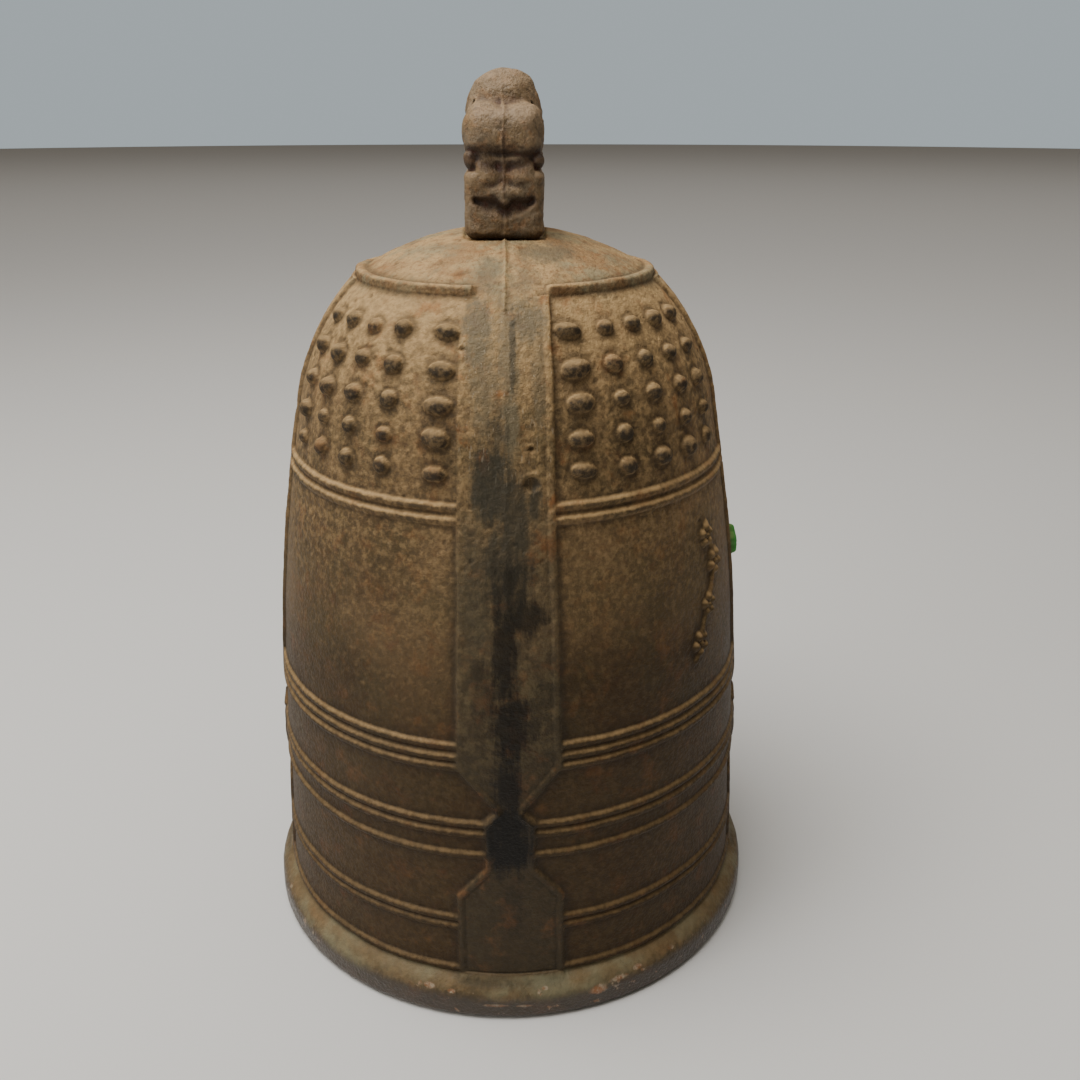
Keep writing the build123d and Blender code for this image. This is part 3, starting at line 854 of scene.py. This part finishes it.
def strokeMask(add, space, strokes, wobble):
    # soft ovals with uneven edges
    total = 0.0
    for x, z, halfWidth, halfHeight, strength in strokes:
        away = add("VectorMath", {0: space, 1: (x, 0, z)}, operation="SUBTRACT")
        away = add("VectorMath", {0: away, 1: (1 / halfWidth, 0, 1 / halfHeight)}, operation="MULTIPLY")
        away = add("VectorMath", {0: away, 1: away}, operation="DOT_PRODUCT").outputs["Value"]
        away = add("Math", {0: away, 1: wobble}, operation="ADD")
        oval = product(add, (away, 1.7, 0.15, 0.0, strength))
        total = add("Math", {0: total, 1: oval}, operation="MAXIMUM")
    return total


bellFinish = {
    "lowIron": "#3D2C15",       # rusted skin low on the wall
    "highIron": "#836A49",      # the same skin higher up, lighter
    "darkIron": "#281E14",      # grain hollows, and painted shade in the larger hollows
    "greenIron": "#413C24",     # olive patina
    "dustAndTopLight": "#C3A06E",          # pale rust dust, and painted top light, on whatever faces up
    "brownDome": "#8C6844",
    "greenDust": "#8E8A6C",
    "orangeRust": "#935C2F",
    "deepRust": "#5E3820",
    # bossIron: rubbed bosses, and the painted shade on their down-turned faces
    "bossIron": "#2F281F",
    "groundIron": "#6C614A",    # ground flat long ago, grey under a thin new skin
    "patina": "#38352A",        # oiled strip down the front strap
    "blackPatina": "#0F0B06",
    "wornIron": "#B3A68F",
    "scuff": "#7A6A4A",
    "chip": "#8F623F",
    "paint": "#3C9A3E",
    "grain": 0.8,               # sand grain, drawn a little coarser than the real 0.4 mm so that it shows
}

# Soft oval strokes on the front strap and the rim: centre across and up, half width, half height, strength.
groundStrokes = [
    (-5.6, 164.0, 3.4, 6.5, 0.85), (-4.2, 154.0, 3.2, 7.5, 0.6), (0.6, 160.0, 2.2, 10.0, 0.7),
    (4.8, 166.5, 3.8, 4.2, 0.85), (7.0, 156.0, 1.4, 10.0, 0.5), (1.0, 147.5, 1.8, 8.0, 0.9),
    (9.5, 178.0, 6.5, 1.6, 0.7), (-3.6, 174.5, 2.4, 3.4, 0.6), (4.5, 173.5, 3.6, 2.0, 0.45),
]
oilStrokes = [
    (-1.8, 144.5, 2.2, 5.0, 0.7), (-3.0, 134.0, 4.6, 9.0, 0.9), (1.6, 129.0, 4.0, 9.0, 0.8),
    (6.0, 130.5, 1.7, 4.6, 0.85), (0.4, 117.0, 5.4, 12.0, 0.75), (-6.5, 112.0, 3.4, 16.0, 0.3),
    (1.6, 160.5, 0.7, 7.0, 0.6),
]
blackStrokes = [
    (0.8, 110.0, 5.2, 9.0, 0.55), (4.2, 105.0, 3.6, 4.5, 0.75), (-0.9, 96.0, 3.0, 14.0, 0.8),
    (-6.0, 88.0, 2.6, 9.0, 0.4), (0.6, 80.0, 4.6, 8.5, 0.85), (4.6, 79.5, 3.0, 2.6, 0.6),
    (-0.4, 66.0, 3.4, 11.0, 0.9), (-0.4, 50.0, 6.4, 11.0, 1.0), (0.0, 30.0, 3.0, 9.0, 0.3),
]
chipStrokes = [
    (21.5, 5.8, 2.2, 1.3, 1.0), (26.5, 7.0, 2.2, 0.6, 1.0), (31.5, 7.8, 1.0, 0.5, 0.8),
    (-15.0, 7.3, 1.0, 0.5, 0.9), (-20.5, 7.6, 1.2, 0.6, 0.8), (8.0, 8.2, 0.8, 0.4, 0.7),
    (-4.0, 4.6, 3.2, 0.4, 0.5), (3.0, 4.4, 2.2, 0.35, 0.5),
]


def sandCastIron():
    # Sand-cast grey iron, never machined: a dry grainy skin of brown rust that is duller and paler where dust
    # lies, nearly black where it was oiled, and has a faint metal shine only where the rim is knocked bare.
    f = bellFinish
    material, add, space = startMaterial("sandCastIron")
    split = add("SeparateXYZ", {0: space})
    height = split.outputs["Z"]
    facing = add("SeparateXYZ", {0: add("NewGeometry").outputs["Normal"]}).outputs["Z"]
    hollow, bossFace, cordFace, seamFace, frontStrap, inside, paint = (
        add("Attribute", attribute_name=name).outputs["Fac"]
        for name in ("hollow", "bossFace", "cordFace", "seamFace", "frontStrap", "insideFace", "paint"))
    grain = patches(add, space, f["grain"], 0.32, 0.68, 2.0, 0.6)
    speckle = patches(add, space, 1.6, 0.36, 0.68, 3.0, 0.65, shift=31)
    clouds = patches(add, space, 15.0, 0.36, 0.66, 4.0, 0.6, shift=57)
    wide = patches(add, space, 42.0, 0.35, 0.65, 3.0, 0.5, shift=83)
    streaks = patches(add, space, 1.5, 0.3, 0.7, 3.0, 0.6, stretch=(1, 1, 0.1), shift=65)
    upper = product(add, (height, 78.0, 150.0))
    dome = product(add, (height, 168.0, 172.5))

    # the skin's brown, lighter up the wall
    raised = add("Math", {0: wide, 1: 26.0, 2: height}, operation="MULTIPLY_ADD")
    colour = coat(add, f["lowIron"], f["highIron"], (raised, 88.0, 168.0))
    colour = coat(add, colour, f["greenIron"], clouds, (height, 40.0, 110.0, 0.12, 0.42))
    pores = add("Math", {0: 1.0, 1: grain}, operation="SUBTRACT")
    colour = coat(add, colour, f["darkIron"], pores, (upper, 0.0, 1.0, 0.22, 0.36))
    colour = coat(add, colour, f["dustAndTopLight"], speckle, (upper, 0.0, 1.0, 0.05, 0.3))

    # dust and painted top light on upward faces and in the angle above each cord, less of it on the bosses
    tilted = add("Math", {0: speckle, 1: 0.2, 2: facing}, operation="MULTIPLY_ADD")
    offBosses = add("Math", {0: bossFace, 1: -0.65, 2: 1.0}, operation="MULTIPLY_ADD")
    colour = coat(add, colour, f["dustAndTopLight"], (tilted, 0.2, 1.0), offBosses, (height, 12.0, 150.0, 0.24, 0.9))
    colour = coat(add, colour, f["dustAndTopLight"], seamFace, 0.7)

    # the crown is mottled: bare brown, and grey-green where the dust is damp
    for tint, share, spots in (
        ("brownDome", 0.6, patches(add, space, 7.5, 0.42, 0.62, 5.0, 0.62, shift=91)),
        ("greenDust", 0.6, patches(add, space, 10.0, 0.44, 0.64, 5.0, 0.62, shift=27)),
        ("brownDome", 0.65, patches(add, space, 1.1, 0.5, 0.68, 3.0, 0.7, shift=36)),
        ("darkIron", 0.35, patches(add, space, 2.6, 0.55, 0.7, 4.0, 0.7, shift=49)),
    ):
        colour = coat(add, colour, f[tint], spots, dome, share)

    # orange rust in patches, mostly on the crown, the boss fields and the front strap
    rust = patches(add, space, 7.0, 0.53, 0.72, 5.0, 0.65, shift=12)
    share = product(add, (height, 105.0, 160.0, 0.18, 0.55))
    share = add("Math", {0: frontStrap, 1: 0.4, 2: share}, operation="MULTIPLY_ADD", use_clamp=True)
    colour = coat(add, colour, f["orangeRust"], rust, share)
    colour = coat(add, colour, f["deepRust"], patches(add, space, 6.0, 0.58, 0.74, 4.0, 0.6, shift=44), 0.4)

    # bosses and the outward faces of cords are rubbed dark, and painted darker where they turn away from the
    # light above: wear and painted shade together
    cordRub = product(add, cordFace, 0.4)
    rubbed = add("Math", {0: product(add, bossFace, 0.9), 1: cordRub}, operation="MAXIMUM")
    outwardShade = product(add, (facing, 0.9, 0.3), (upper, 0.0, 1.0, 0.6, 1.0), (speckle, 0.0, 1.0, 1.0, 0.6))
    colour = coat(add, colour, f["bossIron"], rubbed, outwardShade)
    # painted shade: the hollows are darkened
    colour = coat(add, colour, f["darkIron"], hollow, 0.55)

    # front strap: ground flat at the top, oiled below
    slow = add("TexNoise", {"Vector": space, "Scale": 1 / 5.0, "Detail": 6.0, "Roughness": 0.7})
    wobble = add("Math", {0: slow, 1: 3.2, 2: -1.2}, operation="MULTIPLY_ADD")
    wobble = add("Math", {0: streaks, 1: -0.8, 2: wobble}, operation="MULTIPLY_ADD")
    colour = coat(add, colour, f["patina"], frontStrap, (height, 138.0, 118.0), 0.45)
    scuffs = patches(add, space, 3.2, 0.45, 0.62, 5.0, 0.7, shift=15)
    colour = coat(add, colour, f["scuff"], scuffs, frontStrap, (height, 60.0, 78.0), 0.28)
    onTop = add("Math", {0: frontStrap, 1: dome}, operation="MAXIMUM")
    ground = product(add, strokeMask(add, space, groundStrokes, wobble), onTop)
    oiled = product(add, strokeMask(add, space, oilStrokes, wobble), frontStrap)
    black = product(add, strokeMask(add, space, blackStrokes, wobble), frontStrap)
    for tint, place in (("groundIron", ground), ("patina", oiled), ("blackPatina", black)):
        colour = coat(add, colour, f[tint], place)
    scratches = patches(add, space, 0.5, 0.66, 0.74, 1.0, 0.5, stretch=(1, 1, 0.03), shift=77)
    colour = coat(add, colour, f["wornIron"], scratches, frontStrap, (height, 125.0, 145.0), 0.3)

    # the rim: dark and a little glossy outside, with knocks that show bare iron and fresh rust
    ragged = add("Math", {0: clouds, 1: 0.8, 2: height}, operation="MULTIPLY_ADD")
    rimFace = product(add, (ragged, 8.3, 5.2))
    colour = coat(add, colour, f["darkIron"], rimFace, 0.55)
    offFace = add("Math", {0: 1.0, 1: rimFace}, operation="SUBTRACT")
    colour = coat(add, colour, f["greenDust"], (height, 11.2, 10.4), offFace, (clouds, 0.0, 1.0, 0.1, 0.5))
    knocks = patches(add, space, 3.0, 0.62, 0.68, 4.0, 0.6, shift=21)
    knocks = product(add, knocks, (height, 9.0, 7.5), (height, 0.6, 2.0), 0.6)
    chips = strokeMask(add, space, chipStrokes, wobble)
    chips = product(add, chips, (height, 11.0, 9.5), (split.outputs["Y"], 0.0, -20.0))
    bare = add("Math", {0: knocks, 1: chips}, operation="MAXIMUM")
    colour = coat(add, colour, coat(add, f["chip"], f["wornIron"], speckle), bare)
    colour = coat(add, colour, f["deepRust"], inside, 0.6)
    colour = coat(add, colour, f["paint"], paint)

    # smoother where it is oiled or ground, and on the handled rim
    oldest = add("Math", {0: oiled, 1: black}, operation="MAXIMUM")
    oldest = add("Math", {0: oldest, 1: ground}, operation="MAXIMUM")
    rough = product(add, (grain, 0.0, 1.0, 0.5, 0.64))
    rough = add("Math", {0: upper, 1: 0.16, 2: rough}, operation="MULTIPLY_ADD")
    rough = add("Math", {0: oldest, 1: -0.14, 2: rough}, operation="MULTIPLY_ADD")
    rough = add("Math", {0: rimFace, 1: -0.22, 2: rough}, operation="MULTIPLY_ADD", use_clamp=True)
    fine = add("Bump", {"Strength": 0.5, "Distance": 0.0002, "Height": grain})
    coarse = patches(add, space, 1.7, 0.3, 0.7, 3.0, 0.6, shift=71)
    coarse = product(add, coarse, (upper, 0.0, 1.0, 0.35, 1.0))
    return finishMaterial(material, add, {
        "Base Color": colour,
        "Roughness": rough,
        "Metallic": product(add, bare, 0.4),
        # porous rust shines less than its index says, the handled rim more
        "Specular IOR Level": product(add, (rimFace, 0.0, 1.0, 0.22, 0.6)),
        "Normal": add("Bump", {"Strength": 0.5, "Distance": 0.0003, "Height": coarse, "Normal": fine}),
    })


hangerFinish = {
    "brown": "#806A4B",
    "dustAndTopLight": "#AD8F6B",
    "dark": "#2A1D13",
    "redHollow": "#43200F",
    "grey": "#6A6252",
    "tan": "#9A6F45",
    "grain": 0.7,
}


def smoothCastIron():
    # Cast in finer sand and lacquered long ago: darker and smoother than the bell, with a dull sheen.
    f = hangerFinish
    material, add, space = startMaterial("smoothCastIron")
    facing = add("SeparateXYZ", {0: add("NewGeometry").outputs["Normal"]}).outputs["Z"]
    crest, hollow, shade = (
        add("Attribute", attribute_name=name).outputs["Fac"] for name in ("crest", "hollow", "shade"))
    grain = patches(add, space, f["grain"], 0.3, 0.7, 2.0, 0.6)
    clouds = patches(add, space, 6.0, 0.38, 0.64, 4.0, 0.6, shift=17)
    fleck = patches(add, space, 1.2, 0.45, 0.68, 3.0, 0.7, shift=39)
    tilted = add("Math", {0: clouds, 1: 0.3, 2: facing}, operation="MULTIPLY_ADD")
    colour = linearColour(f["brown"])
    for tint, share, place in (
        ("grey", 0.8, clouds),
        ("tan", 0.55, patches(add, space, 4.0, 0.48, 0.64, 4.0, 0.65, shift=61)),
        ("dark", 0.3, add("Math", {0: 1.0, 1: grain}, operation="SUBTRACT")),
        # dust and painted top light on faces turned up
        ("dustAndTopLight", 0.65, (tilted, 0.0, 1.1)),
        ("dustAndTopLight", 0.2, crest),
        ("dark", 0.32, fleck),
        ("redHollow", 0.6, shade),
        ("dark", 0.8, shade),
        # painted shade on faces turned down
        ("dark", 0.85, (facing, 0.0, -0.55)),
        # painted shade in the hollows, with a red-brown tint
        ("dark", 0.85, hollow),
        ("redHollow", 0.7, product(add, hollow, patches(add, space, 3.0, 0.45, 0.6, 2.0, 0.5, shift=5))),
    ):
        colour = coat(add, colour, f[tint], place, share)
    fine = add("Bump", {"Strength": 0.5, "Distance": 0.0002, "Height": grain})
    pits = add("Bump", {"Strength": 0.4, "Distance": 0.0003, "Height": fleck, "Normal": fine}, invert=True)
    return finishMaterial(material, add, {
        "Base Color": colour,
        "Roughness": product(add, (clouds, 0.0, 1.0, 0.5, 0.66)),
        "Specular IOR Level": 0.35,        # porous rust shines less than its index says
        "Normal": pits,
    })


steelFinish = {"steel": "#8F8C86", "rust": "#5A3A26", "dark": "#2C2620"}


def rustedSteel():
    # Plain steel bolts that were never plated: grey metal with brown rust starting in patches.
    f = steelFinish
    material, add, space = startMaterial("rustedSteel")
    rust = patches(add, space, 2.4, 0.42, 0.6, 4.0, 0.6)
    fine = patches(add, space, 0.5, 0.35, 0.65, 2.0, 0.5, shift=9)
    colour = coat(add, f["steel"], f["rust"], rust)
    return finishMaterial(material, add, {
        "Base Color": coat(add, colour, f["dark"], fine, 0.3),
        "Metallic": add("Math", {0: 1.0, 1: rust}, operation="SUBTRACT"),
        "Roughness": product(add, (rust, 0.0, 1.0, 0.42, 0.8)),
        "Normal": add("Bump", {"Strength": 0.3, "Distance": 0.0001, "Height": fine}),
    })


def dress(thing, material):
    thing.data.materials.clear()
    thing.data.materials.append(material)


dress(bellCasting, sandCastIron())
dress(dragonCasting, smoothCastIron())
steel = rustedSteel()
for piece in fixings:
    dress(piece, steel)
for nodeName in ("front_washer", "rear_washer", "front_nut", "rear_nut"):
    dress(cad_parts[nodeName], steel)
print("materials made")


studio = {
    "floor": "#E2DFD9",
    "room": "#D8D0C5",
    "roomStrength": 0.22,
    "backdrop": "#BBC6CB",
    "backdropStrength": 0.8,
    # lamps, each with its watts, its width in metres and its place
    "lamps": {
        "ceiling": (46.0, 6.0, (0.0, 0.6, 3.0)),
        "key": (8.3, 0.75, (-0.28, -0.12, 0.95)),
        "side": (2.2, 0.5, (-0.8, -0.5, 0.42)),
    },
}


def buildStudio():
    s = studio
    bpy.ops.mesh.primitive_circle_add(vertices=96, radius=6.0, fill_type="NGON", location=(0, 0, 0))
    floor = bpy.context.object
    floor.name = "floor"
    material, add, _ = startMaterial("paleBoard")   # matt painted board
    dress(floor, finishMaterial(material, add, {"Base Color": linearColour(s["floor"]), "Roughness": 0.75}))

    world = bpy.data.worlds.new("room")
    world.use_nodes = True
    bpy.context.scene.world = world
    # the room lights the bell, and a paler backdrop stands behind it
    world.node_tree.nodes.clear()
    add = functools.partial(addNode, world.node_tree)
    lighting = add("Background", {"Color": linearColour(s["room"]), "Strength": s["roomStrength"]})
    backdrop = add("Background", {"Color": linearColour(s["backdrop"]), "Strength": s["backdropStrength"]})
    seen = add("LightPath").outputs["Is Camera Ray"]
    add("OutputWorld", {"Surface": add("MixShader", {0: seen, 1: lighting, 2: backdrop})})

    for name, (power, size, place) in s["lamps"].items():
        lamp = bpy.data.lights.new(name, "AREA")
        lamp.shape = "DISK"
        lamp.size = size
        lamp.energy = power
        holder = bpy.data.objects.new(name, lamp)
        bpy.context.scene.collection.objects.link(holder)
        holder.location = place
        aim = np.array([0, 0, 0.11]) - np.array(place)
        holder.rotation_euler = (
            math.atan2(math.hypot(aim[0], aim[1]), -aim[2]), 0, math.atan2(aim[1], aim[0]) - math.pi / 2)


view = {
    "place": (0.00202, -0.26957, 0.20923),
    "down": 22.04,      # degrees below the horizon
    "right": 1.36,      # degrees turned towards +X
    "lens": 36.0,
    "sensor": 36.0,
}


def buildCamera():
    camera = bpy.data.cameras.new("camera")
    camera.lens, camera.sensor_width = view["lens"], view["sensor"]
    camera.clip_start = 0.01
    holder = bpy.data.objects.new("camera", camera)
    bpy.context.scene.collection.objects.link(holder)
    holder.location = view["place"]
    holder.rotation_euler = (math.radians(90 - view["down"]), 0, math.radians(-view["right"]))
    bpy.context.scene.camera = holder


buildStudio()
buildCamera()
print("studio made")
